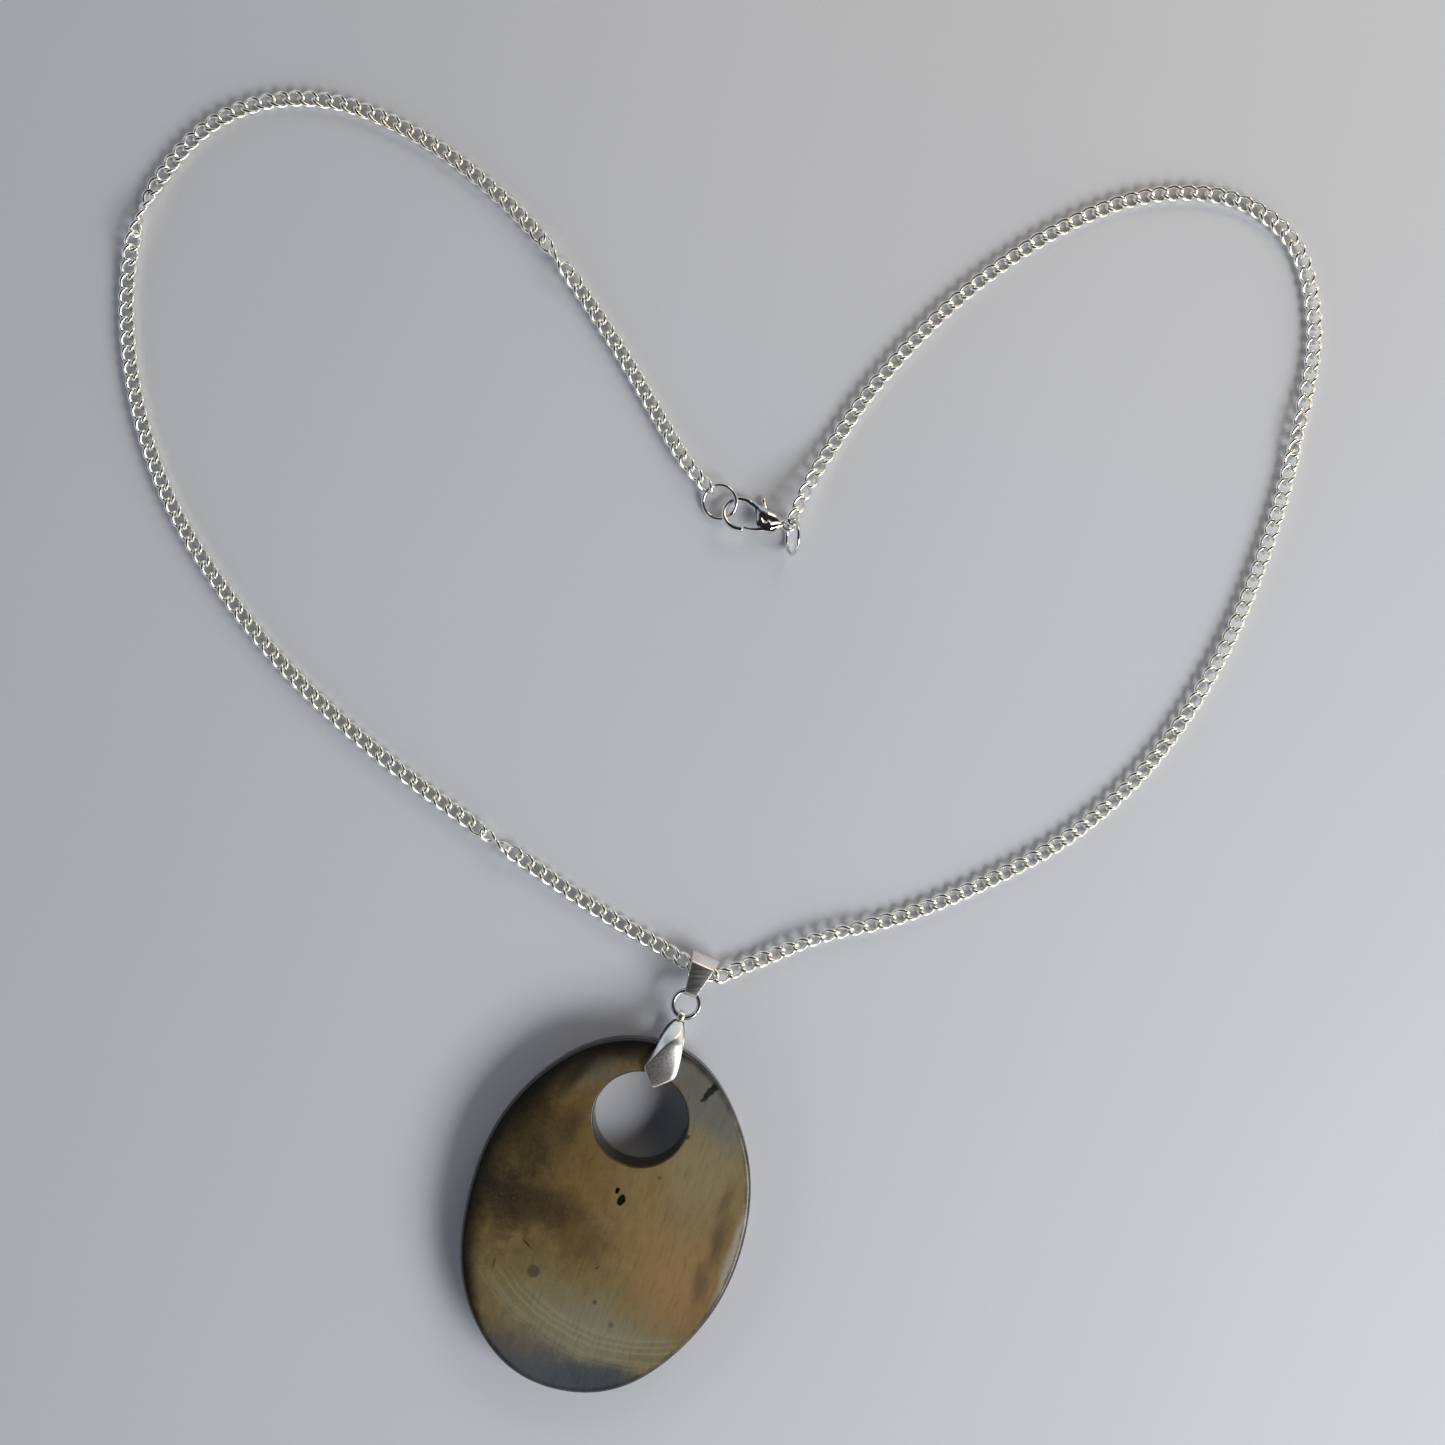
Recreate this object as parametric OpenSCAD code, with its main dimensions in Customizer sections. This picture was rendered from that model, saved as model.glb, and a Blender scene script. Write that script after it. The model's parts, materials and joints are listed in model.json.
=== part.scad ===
// Pendant necklace laid out on a flat surface: an oval horn disc with a large
// round hole hangs by a leaf-shaped pinch bail, a jump ring and a fold-over
// bail from a curb chain, which a lobster clasp closes.
// Millimetres, +Z up. Z = 0 is the surface that the necklace lies on, and the
// origin is under the middle of the whole necklace.

/* [Chain] */
// Distance from one chain link to the next
link_pitch = 2.0; // [1.6:0.05:2.6]
// Diameter of the wire that the links are bent from
link_wire = 0.5; // [0.4:0.05:0.7]
// Lean of each link to the left or the right of its neighbours
link_lean = 45; // [40:1:50]

/* [Disc] */
// Length of the oval disc
disc_length = 50; // [40:1:60]
// Width of the oval disc
disc_width = 38; // [30:1:46]
// Thickness of the disc
disc_thick = 4.3; // [3:0.1:6]
// Radius of the rounded rim of the disc
disc_rim = 0.7; // [0.5:0.1:1.5]
// Diameter of the hole in the disc
hole_d = 12.9; // [9:0.1:16]
// Width of the disc between its upper end and the hole
hole_margin = 4.3; // [4:0.1:6]
// Turn of the disc on the prongs of the pinch bail
disc_turn = 3.8; // [-10:0.1:10]

/* [Pinch bail] */
// Width of a leaf at its widest
leaf_width = 4.7; // [3.6:0.1:6]
// How far the leaves reach past the edge of the hole
leaf_overhang = 1.7; // [1.2:0.1:2]
// Sheet thickness at the edge of a leaf
leaf_edge = 0.45; // [0.35:0.05:0.6]
// Height of a leaf over the disc at its crown
leaf_crown = 1.0; // [0.8:0.05:1.4]
// Diameter of the prongs in the hole
prong_d = 0.9; // [0.6:0.05:1.2]

/* [Fold-over bail] */
// Width of the bail at the chain
bail_top_width = 4.0; // [3:0.1:5]
// Width of the bail at its ring
bail_low_width = 1.5; // [1.2:0.1:2]
// Distance from the chain to the lower end of the loop
bail_reach = 3.4; // [3:0.1:6]
// Thickness of the bail's strip
strip = 0.3; // [0.25:0.05:0.4]
// Direction in which the pendant hangs, measured from -Y towards -X
hang_angle = 23.5; // [10:0.5:35]

/* [Rings] */
// Mean diameter of the two rings beside the clasp
ring_d = 4.66; // [4.4:0.02:6]
// Diameter of the wire of those rings
ring_wire = 0.55; // [0.4:0.05:0.6]
// Mean diameter of the ring between the two bails
bail_ring_d = 3.6; // [3.4:0.1:4.6]
// Diameter of the wire of that ring
bail_ring_wire = 0.6; // [0.4:0.05:0.65]

/* [Clasp] */
// Mean radius of the round claw
claw_r = 2.25; // [2:0.05:3]
// Thickness of the claw
claw_wire = 0.72; // [0.6:0.02:0.8]
// Distance from the middle of the claw to the middle of the eye
clasp_reach = 6.9; // [6.5:0.1:9]
// Thickness of the clasp's body
clasp_thick = 1.8; // [1.6:0.1:2.4]
// Thickness of the lever
lever_thick = 0.7; // [0.5:0.05:0.8]
// Diameter of the lever's pin
pin_d = 0.6; // [0.4:0.05:0.7]

/* [Hidden] */
fine = 48;

// Clearances
link_play = 0.05;
hook_play = 0.1;
bail_play = 0.2;
ring_play = 0.2;
grip_gap = 0.1;
prong_gap = 0.05;
pin_play = 0.05;
slot_play = 0.1;

// Middle of the necklace before it is moved over the origin
middle = [0, 0.3, 0];

// The chain's route from the left ring round to the right ring: x, y, and how
// far the chain is raised there above the height at which it lies
route_hand = [
    [-2, 35.4, 0], [-4.9, 39, 0], [-8.5, 45, 0], [-15, 56, 0],
    [-23, 67.5, 0], [-31, 76, 0], [-41, 83.4, 0], [-52, 88.2, 0],
    [-62, 88.7, 0], [-71, 85, 0], [-78, 77, 0], [-81.6, 67, 0],
    [-82, 56, 0], [-80, 44, 0], [-75.5, 32, 0], [-68, 20, 0],
    [-58.5, 8.5, 0], [-46, -2.7, 0], [-32, -13, 0], [-18, -22.6, 0],
    [-8.8, -28, 0], [-5.3, -30, 0.8], [-2.7, -31.3, 0.9], [-0.1, -32.3, 0.8],
    [4.4, -30.6, 0], [14, -27, 0], [25, -24.2, 0], [37, -19.3, 0],
    [49, -12.6, 0], [60, -2.4, 0], [69, 11.5, 0], [76, 28.5, 0],
    [80.6, 46, 0], [82.1, 58, 0], [79.2, 69, 0], [71, 75, 0],
    [59, 75.4, 0], [46, 70.4, 0], [33, 61.3, 0], [22, 50, 0],
    [15.2, 40.4, 0]
];
hang_index = 22;

// Where the named groups of links lie, as distances along the route
left_lobe_at = 88;
left_lower_at = 184;
right_lower_at = 322;
right_lobe_at = 404;
group_half = 2;

// Sizes that follow from the driving ones
link_r = (link_pitch + link_wire + link_play) / 2;
lying_z = link_r * sin(link_lean) + link_wire / 2;
hook_reach = link_r - link_wire / 2 - ring_wire / 2 - hook_play;
ring_r = ring_d / 2;
bail_ring_r = bail_ring_d / 2;
hole_r = hole_d / 2;

function unit(v) = v / norm(v);
function flat(angle) = [cos(angle), sin(angle), 0];
function turn_z(v, a) = [
    v[0] * cos(a) - v[1] * sin(a),
    v[0] * sin(a) + v[1] * cos(a),
    v[2]
];

// ---- The closure: each piece is placed from the one that it hangs on ----

left_ring_tilt = 18;
left_ring_side = -44;
loop_overlap = 1.28;
claw_side = -31;
claw_rise = 0.41;
clasp_turn = -11.8;
clasp_pitch = 2.5;
clasp_roll = -18;
right_ring_lean = 108;
right_hook_angle = 5;
right_chain_side = 66;
right_lead = 4;
right_fall_share = 0.4;

left_start = route_hand[0] + [0, 0, lying_z];
left_out = unit([route_hand[1][0] - route_hand[0][0], route_hand[1][1] - route_hand[0][1], 0]);
left_hook = left_start - hook_reach * left_out;
left_out_angle = atan2(left_out[1], left_out[0]) - left_ring_side;
left_hook_turn = atan2(sin(left_out_angle) * cos(left_ring_tilt), cos(left_out_angle));

// A point given in the plane of the tilted left ring, seen from its middle
function in_left_ring(x, y) = turn_z(
    [x, y * cos(left_ring_tilt), y * sin(left_ring_tilt)], left_ring_side);

left_ring_at = left_hook - in_left_ring(ring_r * cos(left_hook_turn), ring_r * sin(left_hook_turn));
claw_at = left_ring_at + (ring_r + claw_r - loop_overlap) * flat(claw_side) + [0, 0, claw_rise];
eye_at = claw_at + turn_z(
    [clasp_reach * cos(clasp_pitch), 0, -clasp_reach * sin(clasp_pitch)], clasp_turn);

// The right ring stands on its edge and leans, and its low part passes the eye
lean_across = -cos(right_ring_lean);
lean_up = sin(right_ring_lean);
right_ring_z = ring_wire / 2 + ring_r * lean_up;
eye_share = (eye_at[2] - right_ring_z) / (ring_r * lean_up);
eye_along = sqrt(1 - eye_share * eye_share);
right_ring_at = eye_at - ring_r * [eye_share * lean_across, eye_along, eye_share * lean_up];
right_hook = right_ring_at + ring_r * [
    sin(right_hook_angle) * lean_across,
    cos(right_hook_angle),
    sin(right_hook_angle) * lean_up
];
right_end = right_hook + hook_reach * flat(right_chain_side) - [0, 0, lying_z];
right_fall = right_end + right_lead * flat(right_chain_side) - [0, 0, right_end[2] * right_fall_share];

// ---- The route of the chain and the places of its links ----

route = concat(route_hand, [right_fall, right_end]);
spline_steps = 12;

function ahead(i) = min(i, len(route) - 1);
function spline(i, t) =
    let (
        p0 = route[max(i - 1, 0)],
        p1 = route[i],
        p2 = route[ahead(i + 1)],
        p3 = route[ahead(i + 2)]
    )
    0.5 * (2 * p1 + (p2 - p0) * t + (2 * p0 - 5 * p1 + 4 * p2 - p3) * t * t
        + (3 * p1 - p0 - 3 * p2 + p3) * t * t * t);

curve = [
    for (i = [0 : len(route) - 2])
        for (k = [0 : spline_steps - 1])
            spline(i, k / spline_steps),
    route[len(route) - 1]
];
travel = [
    for (
        i = 0, s = 0;
        i < len(curve);
        s = s + norm(curve[ahead_in_curve(i + 1)] - curve[i]), i = i + 1
    ) s
];
function ahead_in_curve(i) = min(i, len(curve) - 1);
route_length = travel[len(travel) - 1];
tables = [for (axis = [0 : 2]) [for (i = [0 : len(curve) - 1]) [travel[i], curve[i][axis]]]];
function place(s) = [lookup(s, tables[0]), lookup(s, tables[1]), lying_z + max(lookup(s, tables[2]), 0)];

link_count = 2 * ceil(route_length / link_pitch / 2);
spacing = route_length / (link_count - 1);
hang_s = travel[hang_index * spline_steps];
function link_near(s) = round(s / spacing);

// ---- The pendant: bail, ring, pinch bail and disc lie in one line ----

hang_at = route_hand[hang_index] + [0, 0, lying_z];
loop_r = link_r + link_wire / 2 + bail_play;
foot_r = bail_ring_wire / 2 + ring_play;
bail_pivot = bail_reach - ring_play / 2;
root_r = bail_ring_wire / 2 + ring_play;
root_width = 1.0;
root_sheet = 0.38;
prong_depth = 1.0;
prong_root = 0.2;
shoulder_gap = 0.9;
tip_flat = 0.2;
neck_length = 3.0;
disc_near = root_r + root_sheet + neck_length;
contact_y = disc_near + hole_margin;
prong_y = contact_y + prong_d / 2 + prong_gap;
leaf_tip = contact_y + leaf_overhang;
leaf_face = disc_thick / 2 + grip_gap;
disc_centre_y = disc_near + disc_length / 2;
rest_span = disc_near + disc_length - disc_rim - leaf_tip;
rest_tilt = asin((leaf_crown + grip_gap) / rest_span);
clip_z = (leaf_face + leaf_crown) * cos(rest_tilt) + leaf_tip * sin(rest_tilt);
ring_slope = 8;
pivot_z = clip_z - bail_ring_d * sin(ring_slope);
bail_lift = asin((pivot_z - hang_at[2]) / bail_pivot);

module centred() {
    translate(-middle) children();
}

module torus(mean_r, wire) {
    rotate_extrude($fn = fine) translate([mean_r, 0]) circle(d = wire, $fn = fine / 2);
}

// Outline round two circles of radius r1 and r2 and the tangents between them
function taper_outline(p1, r1, p2, r2, steps = 10) =
    let (
        along = atan2(p2[1] - p1[1], p2[0] - p1[0]),
        open = acos((r1 - r2) / norm(p2 - p1))
    )
    concat(
        [for (k = [0 : steps])
            let (a = along + open + (360 - 2 * open) * k / steps)
            p1 + r1 * [cos(a), sin(a)]],
        [for (k = [0 : steps])
            let (a = along - open + 2 * open * k / steps)
            p2 + r2 * [cos(a), sin(a)]]
    );

module taper_slab(p1, r1, p2, r2, thick) {
    linear_extrude(thick, center = true) polygon(taper_outline(p1, r1, p2, r2));
}

// ---- Chain ----

module chain_link(i) {
    at = place(i * spacing);
    before = place(max(i - 0.5, 0) * spacing);
    after = place(min(i + 0.5, link_count - 1) * spacing);
    run = after - before;
    translate(at)
        rotate([0, 0, atan2(run[1], run[0])])
            rotate([0, -asin(run[2] / norm(run)), 0])
                rotate([i % 2 == 0 ? link_lean : -link_lean, 0, 0])
                    torus(link_r, link_wire);
}

module links(first, last) {
    color("gainsboro") centred() for (i = [first : last]) chain_link(i);
}

// The links before and after a group that is centred on a distance
function group_start(s) = link_near(s - group_half);
function group_end(s) = link_near(s + group_half);

module left_end_link() links(0, 0);
module left_inner_chain() links(1, group_start(left_lobe_at) - 1);
module left_lobe_links() links(group_start(left_lobe_at), group_end(left_lobe_at));
module left_outer_chain() links(group_end(left_lobe_at) + 1, group_start(left_lower_at) - 1);
module left_lower_links() links(group_start(left_lower_at), group_end(left_lower_at));
module left_lower_chain() links(group_end(left_lower_at) + 1, group_start(hang_s) - 1);
module bail_links() links(group_start(hang_s), group_end(hang_s));
module right_lower_chain() links(group_end(hang_s) + 1, group_start(right_lower_at) - 1);
module right_lower_links() links(group_start(right_lower_at), group_end(right_lower_at));
module right_outer_chain() links(group_end(right_lower_at) + 1, group_start(right_lobe_at) - 1);
module right_lobe_links() links(group_start(right_lobe_at), group_end(right_lobe_at));
module right_inner_chain() links(group_end(right_lobe_at) + 1, link_count - 2);
module right_end_link() links(link_count - 1, link_count - 1);

// ---- Closure ----

module left_ring() {
    color("silver") centred() translate(left_ring_at)
        rotate([0, 0, left_ring_side]) rotate([left_ring_tilt, 0, 0])
            torus(ring_r, ring_wire);
}

module right_ring() {
    color("silver") centred() translate(right_ring_at)
        rotate([0, right_ring_lean, 0]) torus(ring_r, ring_wire);
}

// Frame of the clasp: the middle of the claw, +X towards the eye
module at_clasp() {
    centred() translate(claw_at) rotate([clasp_roll, clasp_pitch, clasp_turn]) children();
}

// Places in that frame
claw_start = 70;
claw_end = 286;
claw_blend = claw_start + 6;
body_at = [clasp_reach - 3.3, 0.35];
body_r = 1.15;
shoulder_at = body_at + [-0.9, 0.4];
shoulder_r = 0.75;
neck_at = [clasp_reach - 0.95, 0.05];
neck_r = 0.4;
eye_r = 0.85;
eye_wire = 0.54;
pivot_at = [clasp_reach - 2.8, -0.75];
hub_r = 0.75;
gate_r = 0.28;
gate_at = (claw_r - claw_wire / 2 - gate_r - 0.05) * [cos(claw_end + 10), sin(claw_end + 10)];
nub_at = [pivot_at[0] - 1.3, 2.75];
nub_r = 0.34;
arm_share = 0.65;
slot_from = 1.9;
slot_to = pivot_at[0] + 1.2;
spring_r = 0.95;
spring_wire = 0.2;

module clasp_body() {
    color("lightgray") at_clasp() difference() {
        union() {
            rotate([0, 0, claw_start]) rotate_extrude(angle = claw_end - claw_start, $fn = fine)
                translate([claw_r, 0]) circle(d = claw_wire, $fn = fine / 2);
            taper_slab(claw_r * [cos(claw_blend), sin(claw_blend)], claw_wire / 2,
                shoulder_at, shoulder_r, clasp_thick * arm_share);
            taper_slab(body_at, body_r, neck_at, neck_r, clasp_thick);
            translate([clasp_reach, 0, 0]) torus(eye_r, eye_wire);
        }
        translate([slot_from, -4, -lever_thick / 2 - slot_play])
            cube([slot_to - slot_from, 8, lever_thick + 2 * slot_play]);
        translate([pivot_at[0], pivot_at[1], -clasp_thick])
            cylinder(h = 2 * clasp_thick, d = pin_d, $fn = fine);
    }
}

module clasp_lever() {
    color("lightgray") at_clasp() difference() {
        union() {
            translate([pivot_at[0], pivot_at[1], -lever_thick / 2])
                cylinder(h = lever_thick, r = hub_r, $fn = fine);
            taper_slab(pivot_at, hub_r * 0.7, gate_at, gate_r, lever_thick);
            taper_slab(pivot_at, hub_r * 0.7, nub_at, nub_r, lever_thick);
        }
        translate([pivot_at[0], pivot_at[1], -clasp_thick])
            cylinder(h = 2 * clasp_thick, d = pin_d + 2 * pin_play, $fn = fine);
    }
}

module clasp_pin() {
    color("darkgray") at_clasp() translate([pivot_at[0], pivot_at[1], -clasp_thick / 2])
        cylinder(h = clasp_thick, d = pin_d, $fn = fine);
}

// The return spring is a short bent wire behind the lever's hub
module clasp_spring() {
    color("darkgray") at_clasp() translate([pivot_at[0], pivot_at[1], 0])
        rotate([0, 0, -35]) rotate_extrude(angle = 70, $fn = fine)
            translate([spring_r, 0]) circle(d = spring_wire, $fn = fine / 2);
}

// ---- Pendant ----

// Frame of the fold-over bail: the chain's axis, -Y down the pendant
module at_bail() {
    centred() translate(hang_at) rotate([0, 0, -hang_angle]) rotate([-bail_lift, 0, 0]) children();
}

// Frame of the ring between the bails: its top, -Y across the ring
module at_bail_ring() {
    at_bail() translate([0, -bail_pivot, 0]) rotate([bail_lift - ring_slope, 0, 0]) children();
}

// Frame of the pinch bail: the ring's bottom, -Y down the disc
module at_clip() {
    at_bail_ring() translate([0, -bail_ring_d, 0]) rotate([ring_slope + rest_tilt, 0, 0]) children();
}

module fold_bail() {
    outer_r = loop_r + strip;
    outer_foot = foot_r + strip;
    color("silver") at_bail() intersection() {
        rotate([0, 90, 0]) rotate([0, 0, 90]) difference() {
            taper_slab([0, 0], outer_r, [-bail_reach, 0], outer_foot, bail_top_width);
            taper_slab([0, 0], loop_r, [-bail_reach, 0], foot_r, bail_top_width + 1);
        }
        linear_extrude(3 * outer_r, center = true) polygon([
            [-bail_top_width / 2, outer_r],
            [-bail_low_width / 2, -bail_reach - outer_foot],
            [bail_low_width / 2, -bail_reach - outer_foot],
            [bail_top_width / 2, outer_r]
        ]);
    }
}

module bail_ring() {
    color("silver") at_bail_ring() translate([0, -bail_ring_r, 0])
        torus(bail_ring_r, bail_ring_wire);
}

// Outline of a leaf seen from above: narrow at the ring, round at its tip
module leaf_outline() {
    wide_r = leaf_width / 2;
    polygon(taper_outline([0, -leaf_tip + wide_r + tip_flat], wide_r, [0, 0], root_width / 2, 16));
}

// A leaf seen from the side: it rises from the ring and lies along the disc
module leaf_side() {
    shoulder = disc_near - shoulder_gap;
    top = leaf_face + leaf_crown;
    polygon([
        [0, root_r],
        [-shoulder, leaf_face],
        [-leaf_tip, leaf_face],
        [-leaf_tip, top],
        [-shoulder, top],
        [0, root_r + root_sheet]
    ]);
}

module leaf() {
    drop = leaf_crown - leaf_edge;
    bow = (leaf_width * leaf_width / 4 + drop * drop) / (2 * drop);
    intersection() {
        rotate([90, 0, 90]) linear_extrude(2 * leaf_width, center = true) leaf_side();
        linear_extrude(2 * (leaf_face + leaf_crown)) leaf_outline();
        translate([0, 0, leaf_face + leaf_crown - bow]) rotate([90, 0, 0])
            cylinder(h = 2 * leaf_tip, r = bow, $fn = 2 * fine);
    }
    translate([0, -prong_y, leaf_face - prong_depth])
        cylinder(h = prong_depth + prong_root, d = prong_d, $fn = fine);
}

module pinch_bail() {
    color("silver") at_clip() {
        leaf();
        mirror([0, 0, 1]) leaf();
        rotate([0, 90, 0]) difference() {
            cylinder(h = root_width, r = root_r + root_sheet, center = true, $fn = fine);
            cylinder(h = 2 * root_width, r = root_r, center = true, $fn = fine);
        }
    }
}

// The disc's outline drawn in by a margin, and the rounded rim's levels
disc_sides = 72;
rim_steps = 4;
function disc_ring(inset, z) = [
    for (k = [0 : disc_sides - 1])
        let (a = 360 * k / disc_sides)
        [(disc_width / 2 - inset) * cos(a), (disc_length / 2 - inset) * sin(a), z]
];
rim_angles = [
    for (k = [0 : rim_steps]) -90 + 90 * k / rim_steps,
    for (k = [0 : rim_steps]) 90 * k / rim_steps
];
rim_flat = disc_thick / 2 - disc_rim;

module disc_blank() {
    levels = len(rim_angles);
    points = [
        for (n = [0 : levels - 1])
            let (a = rim_angles[n], side = n > rim_steps ? rim_flat : -rim_flat)
            each disc_ring(disc_rim * (1 - cos(a)), side + disc_rim * sin(a))
    ];
    walls = [
        for (n = [0 : levels - 2])
            for (k = [0 : disc_sides - 1])
                let (next = (k + 1) % disc_sides, low = n * disc_sides, high = low + disc_sides)
                [low + k, high + k, high + next, low + next]
    ];
    bottom = [for (k = [0 : disc_sides - 1]) k];
    top = [for (k = [disc_sides - 1 : -1 : 0]) (levels - 1) * disc_sides + k];
    polyhedron(points, concat([bottom, top], walls));
}

module horn_disc() {
    hole_above = disc_length / 2 - hole_margin - hole_r;
    color("darkkhaki") at_clip() translate([0, -prong_y, 0]) rotate([0, 0, disc_turn])
        translate([0, prong_y - contact_y - hole_r - hole_above, 0]) difference() {
            disc_blank();
            translate([0, hole_above, -disc_thick])
                cylinder(h = 2 * disc_thick, r = hole_r, $fn = 2 * fine);
        }
}

left_end_link();
left_inner_chain();
left_lobe_links();
left_outer_chain();
left_lower_links();
left_lower_chain();
bail_links();
right_lower_chain();
right_lower_links();
right_outer_chain();
right_lobe_links();
right_inner_chain();
right_end_link();
left_ring();
right_ring();
clasp_body();
clasp_lever();
clasp_pin();
clasp_spring();
fold_bail();
bail_ring();
pinch_bail();
horn_disc();
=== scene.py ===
"""A pendant necklace laid out on pale paper: the visual model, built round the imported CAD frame."""

import json
import math

import bpy
import numpy as np
from mathutils import Matrix, Vector

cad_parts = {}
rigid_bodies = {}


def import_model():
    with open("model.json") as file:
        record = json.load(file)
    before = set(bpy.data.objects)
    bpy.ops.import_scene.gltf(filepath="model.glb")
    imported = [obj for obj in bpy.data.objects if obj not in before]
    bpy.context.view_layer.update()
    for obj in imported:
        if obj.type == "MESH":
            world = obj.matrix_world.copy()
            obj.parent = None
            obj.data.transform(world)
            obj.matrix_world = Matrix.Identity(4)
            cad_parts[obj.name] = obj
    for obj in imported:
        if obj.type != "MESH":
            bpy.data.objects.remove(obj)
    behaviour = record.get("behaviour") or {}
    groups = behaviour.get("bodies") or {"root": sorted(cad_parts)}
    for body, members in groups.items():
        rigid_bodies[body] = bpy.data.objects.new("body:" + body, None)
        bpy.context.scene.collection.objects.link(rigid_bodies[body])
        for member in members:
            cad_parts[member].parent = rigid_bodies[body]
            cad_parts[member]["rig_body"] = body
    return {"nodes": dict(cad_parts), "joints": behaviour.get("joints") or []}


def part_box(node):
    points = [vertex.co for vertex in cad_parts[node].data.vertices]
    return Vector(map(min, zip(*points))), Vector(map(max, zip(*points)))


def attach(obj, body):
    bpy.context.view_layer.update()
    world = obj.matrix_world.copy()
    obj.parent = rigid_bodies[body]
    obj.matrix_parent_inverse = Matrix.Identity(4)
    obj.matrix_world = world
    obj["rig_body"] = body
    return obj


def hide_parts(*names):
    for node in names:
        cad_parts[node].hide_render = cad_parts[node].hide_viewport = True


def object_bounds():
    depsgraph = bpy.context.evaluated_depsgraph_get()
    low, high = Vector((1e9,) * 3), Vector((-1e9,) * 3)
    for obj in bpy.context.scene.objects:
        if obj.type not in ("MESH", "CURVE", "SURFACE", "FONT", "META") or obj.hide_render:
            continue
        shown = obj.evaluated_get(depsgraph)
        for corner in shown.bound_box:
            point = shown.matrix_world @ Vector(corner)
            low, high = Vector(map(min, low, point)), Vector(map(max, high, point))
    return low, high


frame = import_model()
CAD_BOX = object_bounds()
MM = 0.001
BODY_JOINTS = {joint["name"]: joint for joint in frame["joints"]}


# ---- Helpers: all shapes are worked out in millimetres and scaled to metres at the end ----

def joint_at(name):
    """A joint's anchor in millimetres."""
    return Vector(BODY_JOINTS[name]["pos_m"]) / MM


def node_centre(name):
    """The middle of a CAD node's box in millimetres."""
    low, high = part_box(name)
    return (low + high) / 2 / MM


def turn(axis, degrees):
    return Matrix.Rotation(math.radians(degrees), 4, axis)


def add_mesh(name, points, faces, smooth=True):
    """A mesh object from points in millimetres."""
    mesh = bpy.data.meshes.new(name)
    mesh.from_pydata([tuple(p) for p in points], [], [tuple(f) for f in faces])
    mesh.update()
    mesh.polygons.foreach_set("use_smooth", [smooth] * len(mesh.polygons))
    piece = bpy.data.objects.new(name, mesh)
    bpy.context.scene.collection.objects.link(piece)
    return piece


def place(piece, matrix):
    """Puts a piece made in its own frame of millimetres into the part's frame of metres."""
    piece.data.transform(Matrix.Scale(MM, 4) @ matrix)
    piece.data.update()
    return piece


def apply_modifiers(piece):
    depsgraph = bpy.context.evaluated_depsgraph_get()
    done = bpy.data.meshes.new_from_object(piece.evaluated_get(depsgraph))
    piece.modifiers.clear()
    piece.data = done
    return piece


def joined(name, pieces):
    """One piece from several that overlap or touch."""
    points, faces = [], []
    for piece in pieces:
        first = len(points)
        points += [v.co.copy() for v in piece.data.vertices]
        faces += [[first + i for i in f.vertices] for f in piece.data.polygons]
        bpy.data.objects.remove(piece)
    return add_mesh(name, points, faces)


def sweep(path, radii, sides, closed=False, up=(0, 0, 1), flat=1.0):
    """Points and faces of a tube along a path: round, or flattened along its own up direction."""
    path = np.asarray(path, float)
    count = len(path)
    radii = np.broadcast_to(np.asarray(radii, float), (count,))
    if closed:
        ahead = np.roll(path, -1, axis=0) - np.roll(path, 1, axis=0)
    else:
        ahead = np.gradient(path, axis=0)
    ahead /= np.linalg.norm(ahead, axis=1, keepdims=True)
    across = np.cross(np.broadcast_to(np.asarray(up, float), ahead.shape), ahead)
    across /= np.linalg.norm(across, axis=1, keepdims=True)
    above = np.cross(ahead, across)
    angles = np.linspace(0, 2 * np.pi, sides, endpoint=False)
    rings = (path[:, None]
             + radii[:, None, None] * np.cos(angles)[None, :, None] * across[:, None]
             + flat * radii[:, None, None] * np.sin(angles)[None, :, None] * above[:, None])
    faces = []
    for i in range(count if closed else count - 1):
        low, high = i * sides, (i + 1) % count * sides
        for k in range(sides):
            n = (k + 1) % sides
            faces.append((low + k, low + n, high + n, high + k))
    if not closed:
        faces.append(tuple(range(sides - 1, -1, -1)))
        faces.append(tuple((count - 1) * sides + k for k in range(sides)))
    return rings.reshape(-1, 3), faces


def wire_ring(name, mean_r, wire, seam, gap=0.05, steps=96, sides=20):
    """A jump ring: round wire bent into a circle, with its two cut ends almost touching at the seam."""
    lost = math.degrees(gap / mean_r)
    angles = np.radians(np.linspace(seam + lost / 2, seam + 360 - lost / 2, steps))
    path = mean_r * np.stack([np.cos(angles), np.sin(angles), 0 * angles], 1)
    edge = np.full(steps, wire / 2)
    edge[[0, -1]] *= 0.86
    return add_mesh(name, *sweep(path, edge, sides))


# ---- Camera: straight above the paper, a hand's length over the necklace ----

CAMERA_HEIGHT = 206
CAMERA_AT = (0.28, 2.34)
VIEW_WIDTH = 200.7
SENSOR = 36


def make_camera():
    data = bpy.data.cameras.new("camera")
    data.sensor_width = SENSOR
    data.lens = SENSOR * CAMERA_HEIGHT / VIEW_WIDTH
    data.clip_start = 0.005
    camera = bpy.data.objects.new("camera", data)
    camera.location = Vector((*CAMERA_AT, CAMERA_HEIGHT)) * MM
    bpy.context.scene.collection.objects.link(camera)
    bpy.context.scene.camera = camera


make_camera()


# ---- Material helpers ----

def new_material(name):
    material = bpy.data.materials.new(name)
    material.use_nodes = True
    tree = material.node_tree
    shader = tree.nodes["Principled BSDF"]
    return material, tree, shader


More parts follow.
